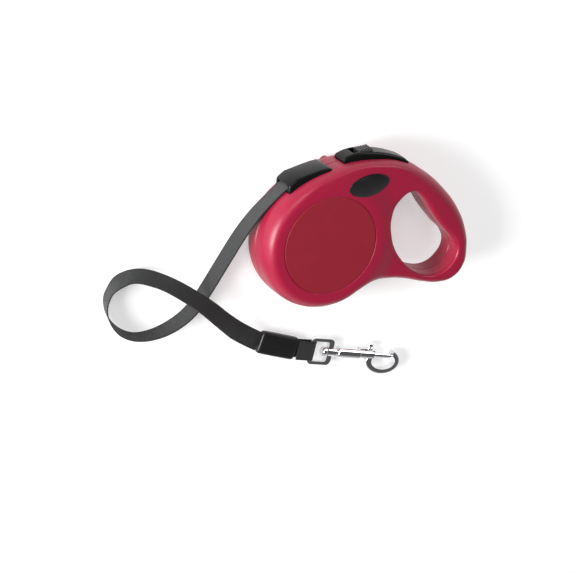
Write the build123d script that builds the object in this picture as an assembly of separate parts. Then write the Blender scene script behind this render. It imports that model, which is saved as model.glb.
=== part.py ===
from build123d import *
import math
import os

# Small retractable leash lying on its side, in millimetres.
# Origin: on the reel's axis, at the flat side face that the leash rests on. +Z is the reel's axis,
# +X points to the handle and +Y to the brake button. "Left" is the upper side (+Z), "right" the lower.

# Housing
THICKNESS = 33.0            # across both side faces
MIDDLE = THICKNESS / 2      # parting plane, and the middle of the tape
WALL = 2.2
DISC_RADIUS = 42.0
DISC_ROUNDING = 10.0
HANDLE_INSET = 3.0          # the handle starts this much inside the side faces
HANDLE_TAPER_START = 45.0   # and gets thinner from this X
HANDLE_END = 104.0
HANDLE_END_INSET = 6.5
HANDLE_ROUNDING = 5.0
OPENING_ROUNDING = 1.5
OPENING_MIDDLE = (66.0, -9.0)
OPENING_REACH = 31.5        # every point of the opening's long edges is nearer than this
BADGE_CENTRE = (27.5, 32.4)
BADGE_SIZE = (14.2, 6.3)
BADGE_DEPTH = 1.0
BADGE_PROUD = 0.6
SCREWS = [(12.0, 41.6), (44.5, 24.0), (79.5, 8.5), (88.5, -38.8), (43.5, -27.5)]
SCREW_RADIUS = 1.1
SCREW_HEAD_RADIUS = 2.1
SCREW_HEAD_LOW = 5.2
SCREW_HEAD_HIGH = 7.0
SCREW_TIP = 25.0
SCREW_BOSS_RADIUS = 3.3

# Tape and reel
TAPE_WIDTH = 12.0
TAPE_THICKNESS = 0.7
TAPE_LENGTH = 5000.0
CHANNEL = TAPE_WIDTH + 1.0  # between the reel's flanges
DRUM_RADIUS = 17.0
DRUM_WALL = 1.8
FLANGE_RADIUS = 38.0
TOOTHED_FLANGE = 2.4
COVER_FLANGE = 1.4
TOOTH_COUNT = 36
TOOTH_DEPTH = 2.0
AXLE_RADIUS = 2.5
AXLE_LOW = 1.2
AXLE_HIGH = THICKNESS - 1.2
FLANGE_LOW = MIDDLE - CHANNEL / 2
FLANGE_HIGH = MIDDLE + CHANNEL / 2
RUNNING_CLEARANCE = 0.06
ARBOR_RADIUS = 5.0
SPRING_STRIP = 0.5
SPRING_HALF_TURNS = 16

# Exit nozzle and its guides
NOZZLE_WIDTH = 19.0
SLOT_WIDTH = TAPE_WIDTH + 1.8
GUIDE_ROLLER_RADIUS = 2.0
GUIDE_PIN_RADIUS = 1.6
EXIT_SLOPE = 4.4            # degrees that the tape climbs from the reel to the nozzle
EXIT_TURN = 40.0            # degrees that the tape turns over the guide roller
LEAD_LENGTH = 22.3

# Brake
BUTTON_WIDTH = 12.6
BUTTON_LOW = MIDDLE - BUTTON_WIDTH / 2
BUTTON_HIGH = MIDDLE + BUTTON_WIDTH / 2
BUTTON_PIVOT = (19.5, 43.0)
BUTTON_PIN_RADIUS = 1.2
BUTTON_TRAVEL = 5.0         # degrees
LOCK_TRAVEL = 4.0
LOCK_FRONT = 27.0
LOCK_REAR = 36.0
LOCK_WIDTH = 8.0
PAWL_ANGLE = 38.0           # where the pawl meets the toothed flange

# Bolt snap, along its own axis from the bar of its swivel eye
SNAP_ORIGIN = (-0.5, -80.6)
SNAP_ANGLE = -17.0
SNAP_HEIGHT = 3.8           # axis above the table
EYE_WIRE = 1.6
EYE_INNER_HALF = 6.5
EYE_LENGTH = 15.0
BARREL_RADIUS = 3.7
BARREL_START = 18.6
BARREL_END = 35.0
BOLT_RADIUS = 1.6
BOLT_TRAVEL = 7.0
SHANK_RADIUS = 2.0
GATE_START = 45.0
GATE_END = 58.5
KNOB_CENTRE = 41.5
HOOK_OUTER = (12.4, 8.6)    # half length and half width of the hook's oval
HOOK_INNER = (8.6, 5.3)
HOOK_CENTRE = (52.5, -3.4)
HOOK_THICKNESS = 5.0

# Free tape: the sleeve at its end, and the route from the nozzle to the sleeve
SLEEVE_START = (-35.6, -66.3)
SLEEVE_END = (-10.9, -77.0)
SLEEVE_WIDTH = 14.6
SLEEVE_THICKNESS = 6.4
EDGE_HEIGHT = TAPE_WIDTH / 2 + 0.2
CROSSING_HEIGHT = EDGE_HEIGHT + TAPE_WIDTH + 0.6
TAPE_ROUTE = [
    (-34.5, 27.9, 14.5),
    (-47.5, 12.6, 11.5),
    (-60.0, -6.8, 8.6),
    (-71.5, -24.5, EDGE_HEIGHT + 0.2),
    (-80.5, -35.0, EDGE_HEIGHT),
    (-92.0, -41.4, EDGE_HEIGHT),
    (-104.5, -44.6, EDGE_HEIGHT),
    (-117.5, -43.9, EDGE_HEIGHT),
    (-128.5, -37.4, EDGE_HEIGHT),
    (-135.0, -26.5, EDGE_HEIGHT),
    (-135.6, -14.4, EDGE_HEIGHT),
    (-127.8, -5.2, EDGE_HEIGHT + 0.3),
    (-116.0, -2.6, EDGE_HEIGHT + 1.5),
    (-102.5, -7.6, EDGE_HEIGHT + 5.5),
    (-89.5, -16.4, CROSSING_HEIGHT - 2.0),
    (-76.0, -28.2, CROSSING_HEIGHT + 1.6),
    (-62.5, -43.0, CROSSING_HEIGHT - 2.5),
    (-50.0, -55.4, EDGE_HEIGHT + 3.0),
]


def write(name, *solids):
    shape = solids[0] if len(solids) == 1 else Compound(children=list(solids))
    export_step(shape, f"parts/{name}.step")
    print(f"{name:16s} {sum(s.volume for s in solids):9.1f} mm3")


def disc(radius, low, high, x=0.0, y=0.0):
    return Pos(x, y, (low + high) / 2) * Cylinder(radius, high - low)


def ring(outer, inner, low, high, x=0.0, y=0.0):
    return disc(outer, low, high, x, y) - disc(inner, low - 1, high + 1, x, y)


def plate(points, low, high):
    outline = Polyline(*points, close=True)
    return extrude(Pos(0, 0, low) * make_face(outline), high - low)


# ---------------------------------------------------------------- housing

def moved_inwards(curve, inset, count, closed=False):
    """A spline beside the given one, on its right-hand side."""
    points = []
    for step in range(count):
        place = step / count if closed else step / (count - 1)
        along = curve % place
        points.append(curve @ place + Vector(along.Y, -along.X) * inset)
    return Spline(*points, periodic=closed)


def handle_face(inset):
    """The loop handle's face: it leaves the disc at the top, and comes back to it at the bottom."""
    outside = Spline(
        (-22.0, 33.5), (-10.0, 41.2), (3.0, 44.3), (16.0, 45.9), (35.0, 45.0), (55.0, 39.6),
        (70.5, 29.4), (84.0, 15.4), (94.0, 0.0), (98.6, -13.5), (99.4, -25.0), (96.2, -37.0),
        (88.0, -44.2), (78.0, -45.2), (66.0, -41.8), (54.0, -37.2), (41.0, -34.0), (26.0, -33.0),
    )
    opening = Spline(
        (59.5, 20.4), (49.0, 16.2), (43.2, 7.0), (42.8, -3.0), (45.6, -13.4), (51.5, -23.5),
        (58.5, -31.0), (67.0, -36.0), (77.0, -37.3), (85.2, -33.2), (90.0, -25.6), (88.6, -18.0),
        (81.5, -9.0), (73.5, 2.6), (66.2, 14.8), periodic=True,
    )
    if inset:
        outside = moved_inwards(outside, inset, 24)
        opening = moved_inwards(opening, inset, 20, closed=True)
    across_disc = Polyline(outside @ 1, (0.0, -20.0), outside @ 0)
    return make_face(outside + across_disc) - make_face(opening)


def side_profile(low, taper):
    """The handle's thickness seen from its edge: full at the disc, thinner at the hand."""
    start = (HANDLE_TAPER_START, low)
    run = HANDLE_END - HANDLE_TAPER_START
    bend = (run * run + taper * taper) / (2 * taper)
    turn = math.degrees(math.asin(run / bend))
    lower = CenterArc((HANDLE_TAPER_START, low + bend), bend, -90, turn)
    line = Polyline(lower @ 1, (HANDLE_END, MIDDLE), (-60, MIDDLE), (-60, low), start)
    half = extrude(Plane.XZ * make_face(lower + line), 80, both=True)
    return half + mirror(half, Plane.XY.offset(MIDDLE))


def handle_solid(inset):
    """The handle's outer form at inset 0, and the hollow inside it at inset WALL."""
    profile = side_profile(HANDLE_INSET + inset, HANDLE_END_INSET - HANDLE_INSET)
    return extrude(handle_face(inset), THICKNESS) & profile


def rim_edges(solid, inside_opening):
    """The edges of the handle's two side faces: round its opening, or round its outside."""
    rims = [e for e in solid.edges() if e.geom_type != GeomType.LINE and abs(e.tangent_at(0.5).Z) < 0.3]
    rims = [e for e in rims if abs((e @ 0.5).Z - MIDDLE) > 9]
    middle = Vector(*OPENING_MIDDLE)
    near = [e for e in rims if (Vector((e @ 0.5).X, (e @ 0.5).Y) - middle).length < OPENING_REACH]
    return near if inside_opening else [e for e in rims if e not in near]


def rounded_handle():
    solid = handle_solid(0)
    solid = fillet(rim_edges(solid, inside_opening=False), HANDLE_ROUNDING)
    return fillet(rim_edges(solid, inside_opening=True), OPENING_ROUNDING)


def rounded_disc(radius, low, high, rounding):
    solid = disc(radius, low, high)
    return fillet(solid.edges().filter_by(GeomType.CIRCLE), rounding)


def nozzle_blank():
    """The exit nozzle's outer form, which also cuts its seat in the two housing halves."""
    outline = [
        (-20.6, 31.5), (-23.2, 35.0), (-22.6, 40.2), (-17.6, 43.3), (-8.0, 44.9), (2.0, 46.4),
        (7.6, 46.9), (9.4, 44.6), (9.0, 41.5), (-4.0, 37.5),
    ]
    blank = plate(outline, MIDDLE - NOZZLE_WIDTH / 2, MIDDLE + NOZZLE_WIDTH / 2)
    return blank - disc(FLANGE_RADIUS + 0.8, 0, THICKNESS)


def button_window():
    clearance = 0.35
    outline = [(14.9, 36.0), (14.9, 55.0), (59.3, 55.0), (59.3, 29.0), (40.0, 31.0)]
    return plate(outline, BUTTON_LOW - clearance, BUTTON_HIGH + clearance)


def housing():
    outer = rounded_disc(DISC_RADIUS, 0, THICKNESS, DISC_ROUNDING) + rounded_handle()
    hollow = rounded_disc(DISC_RADIUS - WALL, WALL, THICKNESS - WALL, DISC_ROUNDING - WALL)
    hollow += handle_solid(WALL)
    bosses = [disc(6, WALL - 0.2, 4.0)]
    for x, y in SCREWS:
        bosses.append(disc(SCREW_BOSS_RADIUS, 0, THICKNESS, x, y) - disc(DISC_RADIUS - WALL, 0, THICKNESS))
    for low, high in ((0, BUTTON_LOW - 0.4), (BUTTON_HIGH + 0.4, THICKNESS)):
        bosses.append(disc(3.0, low, high, *BUTTON_PIVOT))
    shell = outer - hollow
    for boss in bosses:
        shell += outer & boss
    shell -= nozzle_blank()
    shell -= button_window()
    shell -= disc(AXLE_RADIUS, AXLE_LOW, AXLE_HIGH)
    shell -= disc(BUTTON_PIN_RADIUS, 4.5, THICKNESS - 4.5, *BUTTON_PIVOT)
    for x, y in SCREWS:
        shell -= disc(SCREW_RADIUS, SCREW_HEAD_HIGH - 1, SCREW_TIP + 0.5, x, y)
        shell -= disc(SCREW_HEAD_RADIUS + 0.2, -1, SCREW_HEAD_HIGH, x, y)
    return shell


def badge(low, high):
    return extrude(Pos(BADGE_CENTRE[0], BADGE_CENTRE[1], low) * Ellipse(*BADGE_SIZE), high - low)


def make_housing():
    shell = housing()
    side = THICKNESS - HANDLE_INSET
    left_badge = badge(side - BADGE_DEPTH, side + BADGE_PROUD)
    right_badge = badge(HANDLE_INSET - BADGE_PROUD, HANDLE_INSET + BADGE_DEPTH)
    reach = 300
    upper = Pos(0, 0, MIDDLE + reach / 2) * Box(reach, reach, reach)
    left = (shell & upper) - left_badge
    right = (shell - upper) - right_badge
    write("left_shell", left)
    write("right_shell", right)
    disc_body = rounded_disc(DISC_RADIUS, 0, THICKNESS, DISC_ROUNDING)
    write("left_badge", left_badge - disc_body)
    write("right_badge", right_badge - disc_body)
    screws = []
    for x, y in SCREWS:
        head = disc(SCREW_HEAD_RADIUS, SCREW_HEAD_LOW, SCREW_HEAD_HIGH, x, y)
        drive = disc(0.9, SCREW_HEAD_LOW - 1, SCREW_HEAD_LOW + 1, x, y)
        screws.append(head + disc(SCREW_RADIUS, SCREW_HEAD_HIGH, SCREW_TIP, x, y) - drive)
    write("shell_screws", *screws)


# ---------------------------------------------------------------- tape guide

slope = math.radians(EXIT_SLOPE)
climb = Vector(-math.cos(slope), math.sin(slope), 0)
climb_side = Vector(math.sin(slope), math.cos(slope), 0)
layer_area = (TAPE_LENGTH - 330) * TAPE_THICKNESS
PACK_RADIUS = math.sqrt(DRUM_RADIUS ** 2 + layer_area / math.pi)
lead_start = climb_side * (PACK_RADIUS + 0.3 + TAPE_THICKNESS / 2) + Vector(0, 0, MIDDLE)
lead_end = lead_start + climb * LEAD_LENGTH
WRAP_RADIUS = GUIDE_ROLLER_RADIUS + TAPE_THICKNESS / 2 + 0.1
roller_centre = lead_end - climb_side * WRAP_RADIUS
exit_angle = math.radians(90 - EXIT_SLOPE + EXIT_TURN)
exit_point = roller_centre + Vector(math.cos(exit_angle), math.sin(exit_angle), 0) * WRAP_RADIUS
guide_centre = lead_start + climb * 15.5 + climb_side * (GUIDE_PIN_RADIUS + TAPE_THICKNESS / 2 + 0.6)


def make_nozzle():
    blank = nozzle_blank()
    proud = [e for e in blank.edges().filter_by(Axis.Z) if (e @ 0.5).Y > 40.9 and (e @ 0.5).X < 8.5]
    body = fillet(proud, 1.8)
    start = lead_start + climb * 6
    slot_centre = start + climb * 12 + climb_side * 1.5
    slot = Pos(slot_centre.X, slot_centre.Y, MIDDLE) * Rot(0, 0, -EXIT_SLOPE) * Box(26, 5.4, SLOT_WIDTH)
    mouth = plate([(-26, 41.5), (-26, 33.4), (-19.0, 36.5), (-19.0, 41.0)],
                  MIDDLE - SLOT_WIDTH / 2, MIDDLE + SLOT_WIDTH / 2)
    low = MIDDLE - SLOT_WIDTH / 2
    high = MIDDLE + SLOT_WIDTH / 2
    body -= slot
    body -= mouth
    body -= disc(GUIDE_ROLLER_RADIUS + 0.4, low, high, roller_centre.X, roller_centre.Y)
    body -= disc(0.9, low - 1.6, high + 1.6, roller_centre.X, roller_centre.Y)
    body -= disc(GUIDE_PIN_RADIUS, low - 1.6, high + 1.6, guide_centre.X, guide_centre.Y)
    write("exit_nozzle", body)
    write("guide_pin", disc(GUIDE_PIN_RADIUS, low - 1.6, high + 1.6, guide_centre.X, guide_centre.Y))
    write("roller_pin", disc(0.9, low - 1.6, high + 1.6, roller_centre.X, roller_centre.Y))
    write("guide_roller", ring(GUIDE_ROLLER_RADIUS, 0.9 + RUNNING_CLEARANCE, low + 0.3, high - 0.3,
                               roller_centre.X, roller_centre.Y))


# ---------------------------------------------------------------- reel

def toothed_disc(low, high):
    points = []
    for tooth in range(TOOTH_COUNT):
        for half, radius in ((0, FLANGE_RADIUS - TOOTH_DEPTH), (0.5, FLANGE_RADIUS)):
            angle = math.radians(PAWL_ANGLE + 360 * (tooth + half) / TOOTH_COUNT)
            points.append((radius * math.cos(angle), radius * math.sin(angle)))
    return plate(points, low, high)


def make_reel():
    bore = AXLE_RADIUS + RUNNING_CLEARANCE
    floor_low = FLANGE_LOW - TOOTHED_FLANGE
    drum = toothed_disc(floor_low, FLANGE_LOW)
    drum += ring(DRUM_RADIUS, DRUM_RADIUS - DRUM_WALL, FLANGE_LOW, FLANGE_HIGH)
    drum += disc(5.5, 4.6, floor_low)
    drum -= disc(bore, 0, THICKNESS)
    write("reel_drum", drum)
    cover = disc(FLANGE_RADIUS, FLANGE_HIGH, FLANGE_HIGH + COVER_FLANGE)
    cover += disc(DRUM_RADIUS - DRUM_WALL, FLANGE_HIGH - 1.5, FLANGE_HIGH)
    cover -= disc(DRUM_RADIUS - DRUM_WALL - 1.4, FLANGE_HIGH - 2, FLANGE_HIGH)
    cover -= disc(ARBOR_RADIUS + 0.5, 0, THICKNESS)
    write("reel_cover", cover)
    write("wound_tape", ring(PACK_RADIUS, DRUM_RADIUS, MIDDLE - TAPE_WIDTH / 2, MIDDLE + TAPE_WIDTH / 2))
    write("reel_axle", disc(AXLE_RADIUS, AXLE_LOW, AXLE_HIGH))
    write("reel_washers", ring(5.2, AXLE_RADIUS, 4.0, 4.5),
          ring(4.8, AXLE_RADIUS, FLANGE_LOW + 0.1, FLANGE_LOW + 0.5))
    arbor = disc(ARBOR_RADIUS, FLANGE_LOW + 0.5, THICKNESS - WALL)
    arbor += disc(8, THICKNESS - WALL - 2, THICKNESS - WALL)
    arbor -= disc(AXLE_RADIUS, 0, THICKNESS)
    arbor -= Pos(ARBOR_RADIUS, 0, FLANGE_LOW + 6) * Box(3, 0.8, 11)
    write("spring_arbor", arbor)
    step = (DRUM_RADIUS - DRUM_WALL - 0.6 - ARBOR_RADIUS - 1.0) / SPRING_HALF_TURNS
    spring = None
    radius = ARBOR_RADIUS + 0.8
    for turn in range(SPRING_HALF_TURNS):
        side = 1 if turn % 2 == 0 else -1
        band = ring(radius + SPRING_STRIP / 2, radius - SPRING_STRIP / 2, FLANGE_LOW + 1.2, FLANGE_HIGH - 2.2)
        half = band & (Pos(0, side * 30, MIDDLE) * Box(60, 60, 60))
        half = Pos(-side * step / 2, 0, 0) * half
        spring = half if spring is None else spring + half
        radius += step
    write("mainspring", spring)


# ---------------------------------------------------------------- brake

def engaged_to_rest(radial, tangential):
    """A point given beside the reel with the brake pressed, where it is with the brake released."""
    a = math.radians(PAWL_ANGLE)
    x = radial * math.cos(a) - tangential * math.sin(a) - BUTTON_PIVOT[0]
    y = radial * math.sin(a) + tangential * math.cos(a) - BUTTON_PIVOT[1]
    t = math.radians(BUTTON_TRAVEL)
    return (BUTTON_PIVOT[0] + x * math.cos(t) - y * math.sin(t),
            BUTTON_PIVOT[1] + x * math.sin(t) + y * math.cos(t))


def make_brake():
    crown = Spline((16.6, 49.0), (24.0, 50.4), (33.0, 49.5), (45.0, 46.3), (57.0, 40.6))
    skirt = Polyline((57.0, 40.6), (58.8, 38.4), (58.0, 35.3), (54.0, 33.5), (40.0, 38.0), (20.0, 40.5),
                     (15.4, 42.6), (15.4, 47.0), (16.6, 49.0))
    button = extrude(Pos(0, 0, BUTTON_LOW) * make_face(crown + skirt), BUTTON_WIDTH)
    crown_edges = [e for e in button.edges() if (e @ 0.5).Y > 45.5 and e.length > 30]
    button = fillet(crown_edges, 1.8)
    button -= disc(BUTTON_PIN_RADIUS + RUNNING_CLEARANCE, 0, THICKNESS, *BUTTON_PIVOT)
    recess = Pos((LOCK_FRONT - LOCK_TRAVEL - 0.3 + LOCK_REAR + 0.3) / 2, 50, MIDDLE)
    button -= recess * Box(LOCK_REAR - LOCK_FRONT + LOCK_TRAVEL + 0.6, 6, LOCK_WIDTH + 0.4)
    write("brake_button", button)
    tip = [engaged_to_rest(36.9, -0.5), engaged_to_rest(36.9, 0.5), engaged_to_rest(39.0, 1.4)]
    root = [(28.5, 39.44), (36.0, 38.5), engaged_to_rest(39.0, -1.4)]
    pawl = plate(tip + root, 7.8, 9.8)
    pawl += plate([(28.5, 36.0), (28.5, 39.44), (36.0, 38.5), (36.0, 36.0)], 9.8, MIDDLE)
    write("brake_pawl", pawl - button)
    write("button_pin", disc(BUTTON_PIN_RADIUS, 4.5, THICKNESS - 4.5, *BUTTON_PIVOT))
    slider = Pos((LOCK_FRONT + LOCK_REAR) / 2, (47.1 + 50.4) / 2, MIDDLE)
    slider = slider * Box(LOCK_REAR - LOCK_FRONT, 50.4 - 47.1, LOCK_WIDTH)
    for rib in range(5):
        slider += Pos(LOCK_FRONT + 1.1 + 1.7 * rib, 50.6, MIDDLE) * Box(0.8, 0.8, LOCK_WIDTH - 1)
    write("lock_slider", slider)
    write("button_spring", coil(2.6, 0.35, 1.9, 7.6, Location((52.0, 22.6, MIDDLE), (-90, 0, 0))))


def coil(radius, wire, pitch, height, place):
    path = Helix(pitch, height, radius)
    section = Plane(origin=path @ 0, z_dir=path % 0) * Circle(wire)
    return place * sweep(section, path, is_frenet=True)


# ---------------------------------------------------------------- bolt snap

def snap_place(height=SNAP_HEIGHT):
    return Location((*SNAP_ORIGIN, height), (0, 0, SNAP_ANGLE))


def rod(radius, start, end):
    """A round bar along the snap's axis."""
    return Pos((start + end) / 2, 0, 0) * Rot(0, 90, 0) * Cylinder(radius, end - start)


def make_snap():
    place = snap_place()
    half = EYE_INNER_HALF + 2 * EYE_WIRE - 1.2
    frame = Pos((EYE_LENGTH - EYE_WIRE) / 2, 0, 0) * Box(EYE_LENGTH + EYE_WIRE, 2 * half, 2 * EYE_WIRE)
    frame = fillet(frame.edges().filter_by(Axis.Z), 3.0)
    window = Pos((EYE_LENGTH - 3.4) / 2 - 3, 0, 0) * Box(EYE_LENGTH - 3.4 + 6, 2 * EYE_INNER_HALF, 10)
    frame -= fillet(window.edges().filter_by(Axis.Z), 1.5)
    frame += Rot(90, 0, 0) * Cylinder(EYE_WIRE, 2 * half - 3)
    frame += rod(3.0, EYE_LENGTH - 3.4, EYE_LENGTH + 2.2)
    frame -= rod(SHANK_RADIUS + RUNNING_CLEARANCE, EYE_LENGTH - 5, EYE_LENGTH + 4)
    write("swivel_eye", place * frame)
    shank = rod(SHANK_RADIUS, 9.0, BARREL_START)
    shank += fillet(rod(3.1, 7.8, EYE_LENGTH - 3.5).edges().filter_by(GeomType.CIRCLE), 1.2)
    write("swivel_rivet", place * shank)
    oval = extrude(Pos(HOOK_CENTRE[0], HOOK_CENTRE[1], -HOOK_THICKNESS / 2) * Ellipse(*HOOK_OUTER),
                   HOOK_THICKNESS)
    oval = fillet(oval.edges(), 1.4)
    inner = Pos(HOOK_CENTRE[0], HOOK_CENTRE[1], -HOOK_THICKNESS)
    oval -= extrude(inner * Ellipse(*HOOK_INNER), 2 * HOOK_THICKNESS)
    gate = Pos((GATE_START + GATE_END) / 2, 4.0, 0) * Box(GATE_END - GATE_START, 12.0, 20)
    oval -= gate
    barrel = fillet(rod(BARREL_RADIUS, BARREL_START, BARREL_END).edges().filter_by(GeomType.CIRCLE), 0.8)
    hook = barrel + rod(3.1, BARREL_END - 1, GATE_START) + oval
    hook -= rod(BOLT_RADIUS + RUNNING_CLEARANCE, BARREL_END - 3, GATE_END)
    hook -= rod(BARREL_RADIUS - 1.3, BARREL_START + 1.5, BARREL_END - 2)
    slot_start = KNOB_CENTRE - BOLT_TRAVEL - 1.4
    hook -= Pos((slot_start + GATE_START) / 2, 3.0, 0) * Box(GATE_START - slot_start + 0.01, 6.0, 2.4)
    write("hook_body", place * hook)
    bolt = rod(BOLT_RADIUS, BARREL_START + 12, GATE_END - 0.2)
    bolt += rod(BARREL_RADIUS - 1.4, BARREL_START + 11, BARREL_START + 13)
    bolt += Pos(KNOB_CENTRE, 2.9, 0) * Rot(90, 0, 0) * Cylinder(1.1, 5.8)
    knob = Pos(KNOB_CENTRE, 6.4, 0) * Rot(90, 0, 0) * Cylinder(2.3, 2.4)
    bolt += fillet(knob.edges().filter_by(GeomType.CIRCLE), 0.7)
    write("hook_bolt", place * bolt)
    start = place * Pos(BARREL_START + 1.8, 0, 0) * Rot(0, 90, 0)
    write("bolt_spring", coil(1.8, 0.25, 0.62, 1.9, start))


# ---------------------------------------------------------------- tape outside the reel

def band(path, width):
    start = Plane(origin=path @ 0, x_dir=(path % 0).cross(Vector(0, 0, 1)), z_dir=path % 0)
    return sweep(start * Rectangle(TAPE_THICKNESS, width), path)


def corner_radii(points):
    """Each corner's arc uses 0.45 of the shorter of its two runs."""
    radii = []
    for before, corner, after in zip(points, points[1:], points[2:]):
        incoming = corner - before
        outgoing = after - corner
        turn = math.radians(incoming.get_angle(outgoing))
        radii.append(0.45 * min(incoming.length, outgoing.length) / math.tan(turn / 2))
    return radii


def make_tape():
    lead = Line(lead_start, lead_end)
    wrap_plane = Plane(origin=roller_centre)
    wrap = wrap_plane * CenterArc((0, 0), WRAP_RADIUS, 90 - EXIT_SLOPE, EXIT_TURN)
    lead_solid = band(lead, TAPE_WIDTH) + band(wrap, TAPE_WIDTH)
    write("tape_lead", lead_solid)
    route = [Vector(*point) for point in TAPE_ROUTE]
    sleeve_mouth = Vector(*SLEEVE_START, EDGE_HEIGHT)
    last = sleeve_mouth + (route[-1] - sleeve_mouth).normalized() * 0.4
    points = [exit_point] + route + [last]
    radii = corner_radii(points)
    path = FilletPolyline(*points, radius=radii)
    tape = band(path, TAPE_WIDTH)
    write("tape_free", tape)
    print("tape radii", [round(r, 1) for r in radii])
    print("tape length", round(path.length, 1), "volume against section times length",
          round(tape.volume / (TAPE_THICKNESS * TAPE_WIDTH * path.length), 4))
    start = Vector(*SLEEVE_START, SNAP_HEIGHT)
    end = Vector(*SLEEVE_END, SNAP_HEIGHT)
    direction = (end - start).normalized()
    place = Plane(origin=(start + end) / 2, x_dir=direction, z_dir=(0, 0, 1))
    sleeve = Box((end - start).length, SLEEVE_WIDTH, SLEEVE_THICKNESS)
    sleeve = fillet(sleeve.edges().filter_by(Axis.X), 2.0)
    write("tape_sleeve", place * sleeve)
    reach = 10.2
    outer = Pos(-reach / 2, 0, 0) * Box(reach, TAPE_WIDTH, 5.6) + Rot(90, 0, 0) * Cylinder(2.8, TAPE_WIDTH)
    inner = Pos(-4, 0, 0) * Box(8, 20, 3.9) + Rot(90, 0, 0) * Cylinder(1.95, 20)
    write("tape_end_loop", snap_place() * (outer - inner))


os.makedirs("parts", exist_ok=True)
make_housing()
make_nozzle()
make_reel()
make_brake()
make_snap()
make_tape()
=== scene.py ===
import math

import bmesh
import bpy
from bpy.props import FloatProperty, FloatVectorProperty, PointerProperty
from mathutils import Matrix, Vector


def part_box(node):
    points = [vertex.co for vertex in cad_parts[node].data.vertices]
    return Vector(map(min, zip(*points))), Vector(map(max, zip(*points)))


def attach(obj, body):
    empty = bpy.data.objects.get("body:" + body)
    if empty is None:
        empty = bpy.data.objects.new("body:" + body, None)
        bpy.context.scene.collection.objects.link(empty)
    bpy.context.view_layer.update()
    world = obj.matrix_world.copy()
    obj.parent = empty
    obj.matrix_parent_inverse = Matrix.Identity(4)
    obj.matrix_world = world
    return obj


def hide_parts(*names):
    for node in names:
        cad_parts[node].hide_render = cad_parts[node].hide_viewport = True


bl_info = {
    "name": "Retractable Leash Builder",
    "version": (1, 0, 0),
    "blender": (4, 5, 0),
    "location": "View3D > Sidebar > Leash",
    "description": "Builds the visible pieces and the finishes of a small retractable leash",
    "category": "Object",
}

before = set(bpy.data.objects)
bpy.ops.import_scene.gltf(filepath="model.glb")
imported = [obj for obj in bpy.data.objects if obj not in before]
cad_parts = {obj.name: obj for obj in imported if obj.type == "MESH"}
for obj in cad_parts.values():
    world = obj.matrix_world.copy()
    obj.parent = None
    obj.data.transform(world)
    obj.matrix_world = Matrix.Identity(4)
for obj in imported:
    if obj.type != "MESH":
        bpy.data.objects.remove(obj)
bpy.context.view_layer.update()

MM = 0.001
MIDDLE = 16.5               # parting plane and the middle of the tape, in millimetres above the table
FACE_HALF = 16.5            # half thickness at the reel
ROOT_HALF = 13.6            # half thickness where the handle leaves the reel's disc
GRIP_HALF = 11.0            # half thickness at the far end of the grip
DISC_RADIUS = 42.0
PANEL_RADIUS = 30.6
SHELL_WALL = 2.0
TAPE_WIDTH = 12.0
TAPE_THICKNESS = 0.7

# Outline of the handle beyond the disc: x, y and how wide the rounding is there.
HANDLE_OUTLINE = [
    (-10.0, 41.2, 4.0), (3.0, 44.3, 3.4), (16.0, 45.9, 3.0), (35.0, 45.0, 3.4), (55.0, 39.6, 4.6),
    (70.5, 29.4, 6.8), (84.0, 15.4, 7.6), (94.0, 0.0, 7.6), (98.6, -13.5, 6.6), (99.4, -25.0, 5.6),
    (96.2, -37.0, 4.4), (88.0, -44.2, 4.2), (78.0, -45.2, 4.2), (66.0, -41.8, 3.4), (54.0, -37.2, 4.0),
    (42.0, -34.2, 5.0), (31.0, -33.4, 6.0),
]
OPENING_OUTLINE = [
    (59.5, 20.4, 2.2), (49.0, 16.2, 2.2), (43.2, 7.0, 2.2), (42.8, -3.0, 2.2), (45.6, -13.4, 2.0),
    (51.5, -23.5, 1.8), (58.5, -31.0, 1.6), (67.0, -36.0, 1.5), (77.0, -37.3, 1.5), (85.2, -33.2, 1.6),
    (90.0, -25.6, 1.8), (88.6, -18.0, 2.4), (81.5, -9.0, 2.8), (73.5, 2.6, 2.8), (66.2, 14.8, 2.6),
]
DISC_ROUNDING = 6.0
SCREWS = [(12.0, 41.6), (44.5, 24.0), (79.5, 8.5), (88.5, -38.8), (43.5, -27.5)]
BADGE_CENTRE = (27.5, 32.4)
BADGE_SIZE = (14.2, 6.3)

# Tape route outside the nozzle, in metres: the points of its free part, from the nozzle to the sleeve.
TAPE_EXIT = (-0.02098, 0.03838, 0.0165)
TAPE_ROUTE = [
    (-0.0345, 0.0279, 0.0145), (-0.0475, 0.0126, 0.0115), (-0.0600, -0.0068, 0.0086),
    (-0.0715, -0.0245, 0.0064), (-0.0805, -0.0350, 0.0062), (-0.0920, -0.0414, 0.0062),
    (-0.1045, -0.0446, 0.0062), (-0.1175, -0.0439, 0.0062), (-0.1285, -0.0374, 0.0062),
    (-0.1350, -0.0265, 0.0062), (-0.1356, -0.0144, 0.0062), (-0.1278, -0.0052, 0.0065),
    (-0.1160, -0.0026, 0.0077), (-0.1025, -0.0076, 0.0117), (-0.0895, -0.0164, 0.0168),
    (-0.0760, -0.0282, 0.0204), (-0.0625, -0.0430, 0.0163), (-0.0500, -0.0554, 0.0092),
    (-0.0356, -0.0663, 0.0045),
]
# Share of the way along the tape, and how far it leans over there in degrees: 0 stands on its edge.
TAPE_LEAN = [(0.0, 0.0), (0.12, -9.0), (0.30, -9.0), (0.40, -4.0), (0.49, -12.0), (0.55, -13.0), (0.60, -8.0),
             (0.66, 14.0), (0.74, 36.0), (0.82, 47.0), (0.90, 62.0), (1.0, 90.0)]

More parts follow.
